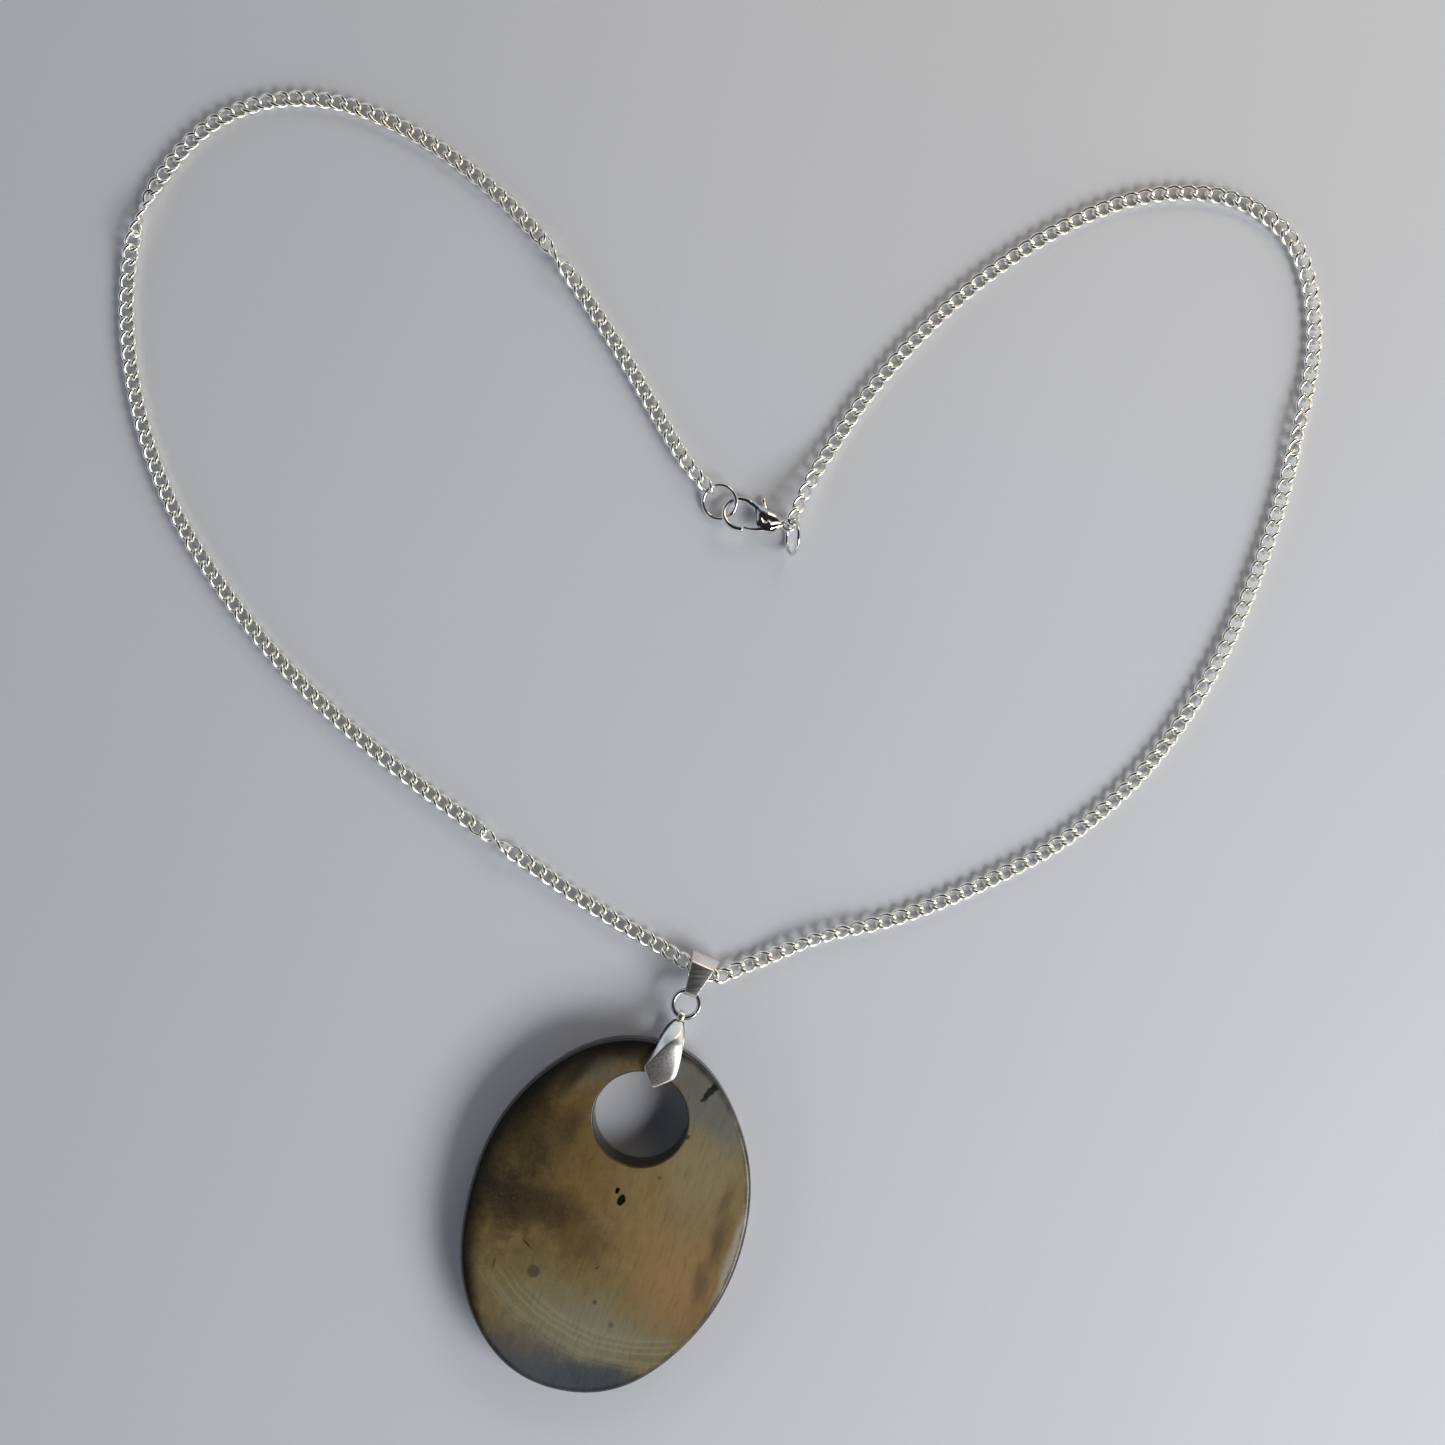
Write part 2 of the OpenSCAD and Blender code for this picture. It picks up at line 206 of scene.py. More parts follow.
def srgb(red, green, blue):
    """A colour as the eye sees it, from 0 to 255 each, as the linear one that the nodes use."""
    linear = []
    for level in (red, green, blue):
        v = level / 255
        linear.append(v / 12.92 if v <= 0.04045 else ((v + 0.055) / 1.055) ** 2.4)
    return (*linear, 1.0)


def node(tree, kind, inputs=None, **settings):
    made = tree.nodes.new(kind)
    for key, value in settings.items():
        setattr(made, key, value)
    for key, value in (inputs or {}).items():
        if isinstance(value, bpy.types.NodeSocket):
            tree.links.new(value, made.inputs[key])
        else:
            made.inputs[key].default_value = value
    return made


def math_node(tree, operation, a, b=None):
    inputs = {0: a} if b is None else {0: a, 1: b}
    return node(tree, "ShaderNodeMath", inputs, operation=operation).outputs[0]


def vector_node(tree, operation, a, b):
    return node(tree, "ShaderNodeVectorMath", {0: a, 1: b}, operation=operation).outputs[0]


def vector_length(tree, vector):
    return node(tree, "ShaderNodeVectorMath", {0: vector}, operation="LENGTH").outputs["Value"]


def dot_product(tree, vector, direction):
    made = node(tree, "ShaderNodeVectorMath", {0: vector, 1: direction}, operation="DOT_PRODUCT")
    return made.outputs["Value"]


def span(tree, value, low, high, to_low=0.0, to_high=1.0):
    """A smooth step of a value from one span to another."""
    return node(tree, "ShaderNodeMapRange", {
        "Value": value, "From Min": low, "From Max": high, "To Min": to_low, "To Max": to_high,
    }, interpolation_type="SMOOTHSTEP").outputs["Result"]


def blend_colour(tree, factor, a, b, mode="MIX"):
    mix = node(tree, "ShaderNodeMix", data_type="RGBA", blend_type=mode)
    colours = [s for s in mix.inputs if s.type == "RGBA"]
    for socket, value in ((mix.inputs[0], factor), (colours[0], a), (colours[1], b)):
        if isinstance(value, bpy.types.NodeSocket):
            tree.links.new(value, socket)
        else:
            socket.default_value = value
    return [s for s in mix.outputs if s.type == "RGBA"][0]


def noise(tree, vector, scale, detail=2.0, rough=0.5, distortion=0.0):
    return node(tree, "ShaderNodeTexNoise", {
        "Vector": vector, "Scale": scale, "Detail": detail, "Roughness": rough, "Distortion": distortion,
    }).outputs[0]


def bump(tree, shader, height, strength, distance):
    made = node(tree, "ShaderNodeBump", {"Height": height, "Strength": strength, "Distance": distance})
    tree.links.new(made.outputs[0], shader.inputs["Normal"])


def metal(name, bright, dull, rough, wear_rough, tarnish=0.5, dent=0.02, streaks=None):
    """Polished or brushed metal with cloudy tarnish, fine scratches and a slightly uneven surface."""
    material, tree, shader = new_material(name)
    shader.inputs["Metallic"].default_value = 1.0
    where = node(tree, "ShaderNodeTexCoord").outputs["Object"]
    clouds = noise(tree, where, 420, 4, 0.6)
    specks = noise(tree, where, 2600, 3, 0.6)
    dirt = span(tree, math_node(tree, "ADD", clouds, math_node(tree, "MULTIPLY", specks, 0.35)), 0.5, 0.95)
    colour = blend_colour(tree, math_node(tree, "MULTIPLY", dirt, tarnish), bright, dull)
    tree.links.new(colour, shader.inputs["Base Color"])
    along = where
    if streaks:
        turned = node(tree, "ShaderNodeMapping", {
            "Vector": where, "Rotation": tuple(math.radians(a) for a in streaks[0]), "Scale": streaks[1],
        })
        along = turned.outputs[0]
    scratches = noise(tree, along, 3200 if streaks else 5200, 3, 0.7)
    roughness = node(tree, "ShaderNodeMapRange", {
        "Value": scratches, "From Min": 0.3, "From Max": 0.75, "To Min": rough, "To Max": wear_rough,
    }).outputs["Result"]
    tree.links.new(roughness, shader.inputs["Roughness"])
    waves = noise(tree, where, 900, 2, 0.5)
    relief = math_node(tree, "ADD", waves, math_node(tree, "MULTIPLY", scratches, 0.6 if streaks else 0.15))
    bump(tree, shader, relief, 1.0, dent * MM)
    return material


def wear(piece, material):
    piece.data.materials.clear()
    piece.data.materials.append(material)


chain_silver = metal("chain_silver", (0.98, 0.96, 0.89, 1), (0.84, 0.80, 0.71, 1), 0.16, 0.28, 0.4, 0.004)
ring_nickel = metal("ring_nickel", (0.78, 0.77, 0.76, 1), (0.55, 0.52, 0.49, 1), 0.06, 0.12, 0.5, 0.0015)
ring_satin = metal("ring_satin", (0.66, 0.65, 0.64, 1), (0.48, 0.46, 0.44, 1), 0.18, 0.28, 0.5, 0.0015)
clasp_nickel = metal("clasp_nickel", (0.80, 0.78, 0.76, 1), (0.58, 0.54, 0.50, 1), 0.06, 0.13, 0.45, 0.002)
wire_steel = metal("wire_steel", (0.62, 0.62, 0.62, 1), (0.42, 0.41, 0.40, 1), 0.25, 0.40, 0.4, 0.01)


# ---- Chain: one route from the left ring round to the right ring ----

CORD_MIDDLE = 0.0003
ROUTE = [
    (-0.0020, 0.0354, 0), (-0.0049, 0.0390, 0), (-0.0085, 0.0450, 0), (-0.0150, 0.0560, 0),
    (-0.0230, 0.0675, 0), (-0.0310, 0.0760, 0), (-0.0410, 0.0834, 0), (-0.0520, 0.0882, 0),
    (-0.0620, 0.0887, 0), (-0.0710, 0.0850, 0), (-0.0780, 0.0770, 0), (-0.0816, 0.0670, 0),
    (-0.0820, 0.0560, 0), (-0.0800, 0.0440, 0), (-0.0755, 0.0320, 0), (-0.0680, 0.0200, 0),
    (-0.0585, 0.0085, 0), (-0.0460, -0.0027, 0), (-0.0320, -0.0130, 0), (-0.0180, -0.0226, 0),
    (-0.0088, -0.0280, 0), (-0.0053, -0.0300, 0.0008), (-0.0027, -0.0313, 0.0009), (-0.0001, -0.0323, 0.0008),
    (0.0044, -0.0306, 0), (0.0140, -0.0270, 0), (0.0250, -0.0242, 0), (0.0370, -0.0193, 0),
    (0.0490, -0.0126, 0), (0.0600, -0.0024, 0), (0.0690, 0.0115, 0), (0.0760, 0.0285, 0),
    (0.0806, 0.0460, 0), (0.0821, 0.0580, 0), (0.0792, 0.0690, 0), (0.0710, 0.0750, 0),
    (0.0590, 0.0754, 0), (0.0460, 0.0704, 0), (0.0330, 0.0613, 0), (0.0220, 0.0500, 0),
    (0.0152, 0.0404, 0),
]
HANG_INDEX = 22
LINK_COUNT = 246
ROUTE_STEPS = 12
CHAIN_LIES_AT = 1.15156
RIGHT_LEAD = 4.0
RIGHT_CHAIN_SIDE = 66

LINK_HALF = 1.36
LINK_SIDE = 0.92
LINK_TWIST = 50
LINK_WIRE = 0.56
LINK_STEPS = 40
LINK_SIDES = 12
END_REACH = 12.0
# The ends turn about their own run to meet the rings: the roll there and the length over which it fades
START_ROLL = (-43, 12)
END_ROLL = (-47, 14)
# Places where the loose chain turns over: distance along it, length of the turn, degrees
ROLLS = [
    (38, 8, 180), (111, 14, 180), (217, 8, 180), (262, 8, 40), (274, 6, -40),
    (335, 18, -34), (367, 5, 60), (374, 5, -60), (399, 14, 34),
]


def route_curve():
    """Points along the chain's middle, and the height at which the CAD chain runs there."""
    start = node_centre("left_end_link")
    end = node_centre("right_end_link")
    side = math.radians(RIGHT_CHAIN_SIDE)
    lift = end.z - CHAIN_LIES_AT
    points = [(x / MM, (y - CORD_MIDDLE) / MM, z / MM) for x, y, z in ROUTE]
    fall = (end.x + RIGHT_LEAD * math.cos(side), end.y + RIGHT_LEAD * math.sin(side), 0.6 * lift)
    points += [fall, (end.x, end.y, lift)]
    points[0] = (start.x, start.y, 0)
    points = np.array(points)
    last = len(points) - 1
    curve = []
    for i in range(last):
        p0, p1 = points[max(i - 1, 0)], points[i]
        p2, p3 = points[i + 1], points[min(i + 2, last)]
        for t in np.arange(ROUTE_STEPS) / ROUTE_STEPS:
            curve.append(0.5 * (2 * p1 + (p2 - p0) * t + (2 * p0 - 5 * p1 + 4 * p2 - p3) * t * t
                                + (3 * p1 - p0 - 3 * p2 + p3) * t ** 3))
    curve.append(points[last])
    return np.array(curve)


CURVE = route_curve()
TRAVEL = np.concatenate([[0], np.cumsum(np.linalg.norm(np.diff(CURVE, axis=0), axis=1))])
ROUTE_LENGTH = TRAVEL[-1]
HANG_S = TRAVEL[HANG_INDEX * ROUTE_STEPS]


def smooth_step(x):
    x = np.clip(x, 0, 1)
    return x * x * (3 - 2 * x)


def link_path():
    """The middle line of one twisted link along +X, lying as flat as it can."""
    t = np.linspace(0, 2 * np.pi, LINK_STEPS, endpoint=False)
    lean = math.radians(LINK_TWIST) * np.cos(t)
    reach = LINK_SIDE * np.sin(t)
    return np.stack([LINK_HALF * np.cos(t), reach * np.cos(lean), reach * np.sin(lean)], 1)


def roll_at(s):
    """How far the chain is turned about its run, in degrees."""
    start = START_ROLL[0] * (1 - smooth_step(s / START_ROLL[1]))
    end = END_ROLL[0] * smooth_step((s - ROUTE_LENGTH) / END_ROLL[1] + 1)
    return start + end + sum(size * smooth_step((s - at) / length + 0.5) for at, length, size in ROLLS)


def lying_height(roll):
    """How high the middle of a link turned by this roll is when the link rests on the paper."""
    path = link_path()
    a = math.radians(roll)
    return LINK_WIRE / 2 - np.min(path[:, 1] * math.sin(a) + path[:, 2] * math.cos(a))


def chain_point(s):
    x, y, raised = (np.interp(s, TRAVEL, CURVE[:, k]) for k in range(3))
    own = max(lying_height(roll_at(s + d)) for d in (-1.5, 0, 1.5))
    near_held = max(1 - smooth_step(s / END_REACH), 1 - smooth_step((ROUTE_LENGTH - s) / END_REACH),
                    1 - smooth_step(abs(s - HANG_S) / END_REACH))
    held = CHAIN_LIES_AT + max(raised, 0)
    return np.array([x, y, own + (held - own) * near_held])


def make_chain():
    spacing = ROUTE_LENGTH / (LINK_COUNT - 1)
    shape = link_path()
    points, faces = [], []
    for i in range(LINK_COUNT):
        at = chain_point(i * spacing)
        run = chain_point(min(i + 0.5, LINK_COUNT - 1) * spacing) - chain_point(max(i - 0.5, 0) * spacing)
        heading = math.degrees(math.atan2(run[1], run[0]))
        climb = math.degrees(math.asin(run[2] / np.linalg.norm(run)))
        matrix = turn("Z", heading) @ turn("Y", -climb) @ turn("X", roll_at(i * spacing))
        path = shape @ np.array(matrix.to_3x3()).T + at
        ring, sides = sweep(path, LINK_WIRE / 2, LINK_SIDES, closed=True, up=matrix @ Vector((0, 0, 1)))
        first = len(points)
        points.extend(ring)
        faces.extend(tuple(first + k for k in f) for f in sides)
    return place(add_mesh("curb_chain", points, faces), Matrix.Identity(4))


chain = make_chain()
wear(chain, chain_silver)
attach(chain, "chain")
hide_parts(*[n for n in frame["nodes"] if frame["nodes"][n]["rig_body"] == "chain"])
chain_route = [tuple(chain_point(s) * MM) for s in np.linspace(0, ROUTE_LENGTH, 240)]
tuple(chain_route[0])


# ---- Jump rings ----

LEFT_RING_TILT = 18
LEFT_RING_SIDE = -44
RIGHT_RING_LEAN = 108
RING_MEAN_R = 2.33
RING_WIRE = 0.57
BAIL_RING_MEAN_R = 1.8
BAIL_RING_WIRE = 0.72
RING_SLOPE = 8
HANG_ANGLE = 23.5


def make_rings():
    left = wire_ring("left_jump_ring", RING_MEAN_R, RING_WIRE, seam=150)
    place(left, Matrix.Translation(node_centre("left_ring"))
          @ turn("Z", LEFT_RING_SIDE) @ turn("X", LEFT_RING_TILT))
    right = wire_ring("right_jump_ring", RING_MEAN_R, RING_WIRE, seam=-80)
    place(right, Matrix.Translation(node_centre("right_ring")) @ turn("Y", RIGHT_RING_LEAN))
    middle = wire_ring("pendant_ring", BAIL_RING_MEAN_R, BAIL_RING_WIRE, seam=-20)
    place(middle, at_bail_ring() @ Matrix.Translation((0, -BAIL_RING_MEAN_R, 0)))
    for piece, body, finish in ((left, "left_ring", ring_nickel), (right, "right_ring", ring_nickel),
                                (middle, "bail_ring", ring_satin)):
        wear(piece, finish)
        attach(piece, body)
        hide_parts(body)


# ---- Frames of the pendant's pieces, from the joints' anchors ----

# Angles at rest: slope of the bail, tilt of the leaf bail and the disc, turn of the disc in its own plane
BAIL_LIFT = 16.6831
REST_TILT = 1.45571
DISC_TURN = 3.8


def at_bail():
    return Matrix.Translation(joint_at("bail_swing")) @ turn("Z", -HANG_ANGLE) @ turn("X", -BAIL_LIFT)


def at_bail_ring():
    return Matrix.Translation(joint_at("bail_ring_swing")) @ turn("Z", -HANG_ANGLE) @ turn("X", -RING_SLOPE)


def at_clip():
    return Matrix.Translation(joint_at("pinch_bail_swing")) @ turn("Z", -HANG_ANGLE) @ turn("X", REST_TILT)


make_rings()


# ---- Lobster clasp ----

CLASP_REACH = 6.9
CLASP_TURNS = (-11.8, 2.5, -18)
PIVOT = (4.1, -0.75)
CLAW_R = 2.25


def at_clasp():
    turned = turn("Z", CLASP_TURNS[0]) @ turn("Y", CLASP_TURNS[1]) @ turn("X", CLASP_TURNS[2])
    eye = joint_at("right_ring_fold")
    return Matrix.Translation(eye - turned @ Vector((CLASP_REACH, 0, 0))) @ turned


def ball(at, radius, squash):
    """A small sphere, flattened along Z, to be melted together with its neighbours."""
    rows, columns = 10, 16
    points = [(at[0], at[1], -radius * squash)]
    for i in range(1, rows):
        a = math.pi * i / rows - math.pi / 2
        for k in range(columns):
            b = 2 * math.pi * k / columns
            points.append((at[0] + radius * math.cos(a) * math.cos(b),
                           at[1] + radius * math.cos(a) * math.sin(b), radius * squash * math.sin(a)))
    points.append((at[0], at[1], radius * squash))
    faces = []
    top = len(points) - 1
    for k in range(columns):
        n = (k + 1) % columns
        faces.append((0, 1 + n, 1 + k))
        for i in range(rows - 2):
            low, high = 1 + i * columns, 1 + (i + 1) * columns
            faces.append((low + k, low + n, high + n, high + k))
        last = 1 + (rows - 2) * columns
        faces.append((last + k, last + n, top))
    return add_mesh("ball", points, faces)


def string_of_balls(stops, squash, step=0.09):
    """Balls set close together along stops of (x, y, radius)."""
    made = []
    for (x0, y0, r0), (x1, y1, r1) in zip(stops, stops[1:]):
        count = max(2, int(math.dist((x0, y0), (x1, y1)) / step))
        for k in range(count):
            t = k / count
            made.append(ball((x0 + (x1 - x0) * t, y0 + (y1 - y0) * t), r0 + (r1 - r0) * t, squash))
    made.append(ball(stops[-1][:2], stops[-1][2], squash))
    return made


def melt(piece, voxel, rounds):
    """Melts overlapping solids into one cast-looking skin."""
    remesh = piece.modifiers.new("melt", "REMESH")
    remesh.mode = "VOXEL"
    remesh.voxel_size = voxel
    remesh.use_smooth_shade = True
    smooth = piece.modifiers.new("smooth", "SMOOTH")
    smooth.factor = 0.5
    smooth.iterations = rounds
    return apply_modifiers(piece)


def cut(piece, cutter):
    boolean = piece.modifiers.new("cut", "BOOLEAN")
    boolean.operation = "DIFFERENCE"
    boolean.solver = "EXACT"
    boolean.object = cutter
    apply_modifiers(piece)
    bpy.data.objects.remove(cutter)
    return piece


def block(low, high):
    points = [(x, y, z) for z in (low[2], high[2]) for y in (low[1], high[1]) for x in (low[0], high[0])]
    faces = [(0, 2, 3, 1), (4, 5, 7, 6), (0, 1, 5, 4), (2, 6, 7, 3), (0, 4, 6, 2), (1, 3, 7, 5)]
    return add_mesh("block", points, faces, smooth=False)


def sharpen(piece, degrees=40):
    """Marks the edges that bend more than this as sharp, and shades the rest smooth."""
    piece.data.set_sharp_from_angle(angle=math.radians(degrees))


EYE_R = 0.85
EYE_WIRE_R = 0.27
HOOK_FROM = 62
HOOK_TO = 286
HOOK_STEPS = 60
SLOT_HALF = 0.45
LEVER_HALF = 0.35


def make_hook():
    """The claw: a bent rod, thicker where it leaves the body and towards its tip."""
    path, radii = [], []
    for k in range(HOOK_STEPS + 1):
        a = math.radians(HOOK_FROM + (HOOK_TO - HOOK_FROM) * k / HOOK_STEPS)
        path.append((CLAW_R * math.cos(a), CLAW_R * math.sin(a), 0))
        radii.append(0.36 + 0.09 * max(0, (k - 30) / 30) ** 1.5 + 0.10 * max(0, 1 - k / 14))
    return add_mesh("claw", *sweep(path, radii, 24))


def make_eye():
    angles = np.linspace(0, 2 * np.pi, 48, endpoint=False)
    path = np.stack([CLASP_REACH + EYE_R * np.cos(angles), EYE_R * np.sin(angles), 0 * angles], 1)
    return add_mesh("eye", *sweep(path, EYE_WIRE_R, 20, closed=True))


def make_clasp():
    """The cast body: claw, shoulder, lower cheek and eye, with a slot for the trigger."""
    shoulder = string_of_balls([(0.9, 2.05, 0.44), (1.7, 1.72, 0.52), (2.5, 1.2, 0.72), (3.2, 0.7, 0.98),
                                (3.7, 0.42, 1.1), (4.5, 0.3, 0.98), (5.3, 0.12, 0.7), (6.1, 0, 0.45)], 0.82)
    cheek = string_of_balls([(2.62, 1.1, 0.62), (2.8, 0.35, 0.72), (2.95, -0.5, 0.74), (3.3, -1.0, 0.7),
                             (4.3, -0.95, 0.85), (5.1, -0.55, 0.7), (5.8, -0.25, 0.48)], 0.86)
    body = melt(joined("lobster_clasp", [make_hook(), make_eye()] + shoulder + cheek), 0.055, 6)
    body.name = "lobster_clasp"
    cut(body, block((1.9, -4, -SLOT_HALF), (5.3, 4, SLOT_HALF)))
    sharpen(body)
    return place(body, at_clasp())


def make_trigger():
    """The gate that closes the claw and the arm with the thumb tab, cut to one thickness."""
    gate = string_of_balls([(4.5, -1.0, 0.88), (3.6, -1.38, 0.6), (2.7, -1.76, 0.36), (1.7, -1.94, 0.25),
                            (0.9, -1.9, 0.22)], 1.0)
    arm = string_of_balls([(4.1, -0.75, 0.7), (3.5, 0.9, 0.45), (2.95, 2.3, 0.34), (2.8, 2.75, 0.38)], 1.0)
    lever = melt(joined("clasp_trigger", gate + arm), 0.05, 4)
    lever.name = "clasp_trigger"
    cut(lever, block((-1, -5, LEVER_HALF), (8, 5, 3)))
    cut(lever, block((-1, -5, -3), (8, 5, -LEVER_HALF)))
    sharpen(lever)
    return place(lever, at_clasp())


def make_rivet():
    """The pin, with both ends burred over into low domes."""
    profile = [(0, -0.93), (0.2, -0.9), (0.3, -0.84), (0.3, -0.78), (0.28, -0.7), (0.28, 0.7), (0.3, 0.78),
               (0.3, 0.84), (0.2, 0.9), (0, 0.93)]
    sides = 24
    points, faces = [], []
    for r, z in profile:
        for k in range(sides):
            a = 2 * math.pi * k / sides
            points.append((PIVOT[0] + max(r, 0.004) * math.cos(a), PIVOT[1] + max(r, 0.004) * math.sin(a), z))
    for i in range(len(profile) - 1):
        for k in range(sides):
            n = (k + 1) % sides
            faces.append((i * sides + k, i * sides + n, (i + 1) * sides + n, (i + 1) * sides + k))
    faces.append(tuple(range(sides - 1, -1, -1)))
    faces.append(tuple((len(profile) - 1) * sides + k for k in range(sides)))
    rivet = add_mesh("clasp_rivet", points, faces)
    sharpen(rivet, 50)
    return place(rivet, at_clasp())


for piece, body, replaced in ((make_clasp(), "clasp", "clasp_body"), (make_trigger(), "lever", "clasp_lever"),
                              (make_rivet(), "clasp", "clasp_pin")):
    wear(piece, clasp_nickel)
    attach(piece, body)
    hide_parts(replaced)

spring = frame["nodes"]["clasp_spring"]
spring.data.materials.clear()
spring.data.materials.append(wire_steel)


# ---- Fold-over bail: one strip of sheet, bent round the chain and round the ring ----

STRIP = 0.3
BAIL_REACH = 3.4
BAIL_TOP_WIDTH = 4.0
BAIL_LOW_WIDTH = 1.5
LOOP_R = 2.0
FOOT_R = 0.8
# The strip seen from the side: how far its foot runs past the ring, how much the foot narrows,
# where the top begins to bend, and half of the top's flat part
FOOT_PAST = 0.6
FOOT_NARROWS = 0.05
BEND_AT = 0.2
TOP_FLAT = 0.7
CORNER_ROUNDING = [0.7, 0.3, 0.5, 0.5, 0.4, 0.7]
STRIP_MIDDLE = (-0.6, 0)
STRIP_EDGE = 0.06


def rounded_corners(corners, radius, steps=5):
    """A closed outline whose corners are rounded off."""
    outline = []
    count = len(corners)
    for i in range(count):
        here = Vector(corners[i])
        back = Vector(corners[i - 1]) - here
        on = Vector(corners[(i + 1) % count]) - here
        reach = min(radius[i], back.length / 2.2, on.length / 2.2)
        a, b = here + back.normalized() * reach, here + on.normalized() * reach
        for k in range(steps + 1):
            t = k / steps
            outline.append(a * (1 - t) ** 2 + here * 2 * t * (1 - t) + b * t * t)
    return outline


def strip_outlines():
    """The bent strip's closed outline seen from the side: its outer and its inner face."""
    foot_end = -BAIL_REACH - FOOT_PAST
    foot_half = FOOT_R - FOOT_NARROWS
    corners = [(foot_end, foot_half), (BEND_AT, LOOP_R), (LOOP_R, TOP_FLAT), (LOOP_R, -TOP_FLAT),
               (BEND_AT, -LOOP_R), (foot_end, -foot_half)]
    outer = rounded_corners(corners, CORNER_ROUNDING, 7)
    inner = []
    for i, point in enumerate(outer):
        along = outer[(i + 1) % len(outer)] - outer[i - 1]
        inward = Vector((-along.y, along.x)).normalized()
        if inward.dot(Vector(STRIP_MIDDLE) - point) < 0:
            inward = -inward
        inner.append(point + inward * STRIP)
    return outer, inner


def make_fold_bail():
    outer, inner = strip_outlines()
    count = len(outer)
    points, faces = [], []
    for outline in (outer, inner):
        for side in (-1, 1):
            for y, z in outline:
                share = (y + BAIL_REACH + FOOT_R) / (BAIL_REACH + FOOT_R + LOOP_R)
                half = (BAIL_LOW_WIDTH + (BAIL_TOP_WIDTH - BAIL_LOW_WIDTH) * share) / 2
                points.append((side * half, y, z))
    outer_left, outer_right, inner_left, inner_right = (k * count for k in range(4))
    for i in range(count):
        n = (i + 1) % count
        faces.append((outer_left + i, outer_left + n, outer_right + n, outer_right + i))
        faces.append((inner_left + i, inner_right + i, inner_right + n, inner_left + n))
        faces.append((outer_left + i, inner_left + i, inner_left + n, outer_left + n))
        faces.append((outer_right + i, outer_right + n, inner_right + n, inner_right + i))
    bail = add_mesh("fold_over_bail", points, faces)
    bevel = bail.modifiers.new("edges", "BEVEL")
    bevel.width = STRIP_EDGE
    bevel.segments = 3
    bevel.limit_method = "ANGLE"
    bevel.angle_limit = math.radians(60)
    apply_modifiers(bail)
    sharpen(bail, 35)
    return place(bail, at_bail())


brushed_silver = metal("brushed_silver", (0.88, 0.84, 0.79, 1), (0.64, 0.59, 0.54, 1), 0.26, 0.42, 0.5, 0.004,
                       streaks=((0, 0, HANG_ANGLE), (0.08, 1.0, 1.0)))
satin_silver = metal("satin_silver", (0.96, 0.93, 0.87, 1), (0.76, 0.72, 0.66, 1), 0.24, 0.36, 0.4, 0.0025)

bail = make_fold_bail()
wear(bail, brushed_silver)
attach(bail, "bail")
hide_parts("fold_bail")


# ---- Pinch bail: two leaves joined by a loop round the ring, with a prong under each tip ----

LEAF_FACE = 2.25
# Distance from the ring, left edge, ridge, right edge, height of the ridge over the leaf's back
LEAF_ROWS = [
    (0.50, -0.42, 0.40, 0.60, 0.42), (1.1, -0.80, 0.75, 0.95, 0.62), (1.9, -1.12, 0.62, 1.32, 0.80),
    (3.0, -1.36, -0.02, 1.74, 0.95), (4.2, -1.52, -0.68, 2.08, 1.02), (5.4, -1.70, -1.18, 2.34, 1.00),
    (6.6, -1.90, -1.68, 2.50, 0.92), (7.5, -2.02, -1.95, 2.52, 0.84), (7.95, -1.90, -1.82, 2.30, 0.78),
    (8.8, -1.02, -0.92, 1.45, 0.62), (9.5, -0.30, -0.20, 0.72, 0.48), (9.8, 0.02, 0.08, 0.40, 0.40),
]


def leaf_rise(distance):
    """How far the leaf's back is above the disc's middle plane: it climbs from the ring to the disc."""
    return LEAF_FACE * min(1, 0.2 + 0.8 * smooth_step(distance / 3.4))


def make_leaf(side):
    points, faces = [], []
    for distance, left, ridge, right, crest in LEAF_ROWS:
        base = leaf_rise(distance)
        edge = min(0.42, crest * 0.75)
        section = [(left, 0), (left, edge * 0.8), (ridge, crest)]
        for t in (0.25, 0.5, 0.75, 0.92):
            section.append((ridge + (right - ridge) * t, crest - (crest - edge) * t ** 1.8))
        section += [(right, edge * 0.7), (right, 0), ((left + right) / 2, 0)]
        points += [(x, -distance, side * (base + z)) for x, z in section]
    across = len(section)
    for i in range(len(LEAF_ROWS) - 1):
        for k in range(across):
            n = (k + 1) % across
            quad = (i * across + k, i * across + n, (i + 1) * across + n, (i + 1) * across + k)
            faces.append(quad if side > 0 else quad[::-1])
    first = tuple(range(across))
    last = tuple((len(LEAF_ROWS) - 1) * across + k for k in range(across))
    faces.append(first[::-1] if side > 0 else first)
    faces.append(last if side > 0 else last[::-1])
    leaf = add_mesh("leaf", points, faces)
    creases = leaf.data.attributes.new("crease_edge", "FLOAT", "EDGE")
    for edge_index, edge in enumerate(leaf.data.edges):
        a, b = sorted(edge.vertices)
        if b - a == across and a % across in (0, 2, across - 2):
            creases.data[edge_index].value = 0.5
    subdivision = leaf.modifiers.new("round", "SUBSURF")
    subdivision.levels = subdivision.render_levels = 3
    return apply_modifiers(leaf)


def make_root():
    """The band that joins the two leaves round the ring."""
    inner = 0.5
    outer = 0.86
    half = 0.45
    corner = 0.1
    steps = 40
    points, faces = [], []
    section = [(inner, -half), (outer - corner, -half), (outer, -half + corner), (outer, half - corner),
               (outer - corner, half), (inner, half)]
    for k in range(steps):
        a = 2 * math.pi * k / steps
        points += [(x, r * math.cos(a), r * math.sin(a)) for r, x in section]
    wide = len(section)
    for k in range(steps):
        low, high = k * wide, (k + 1) % steps * wide
        faces += [(low + i, high + i, high + (i + 1) % wide, low + (i + 1) % wide) for i in range(wide)]
    return add_mesh("root", points, faces)


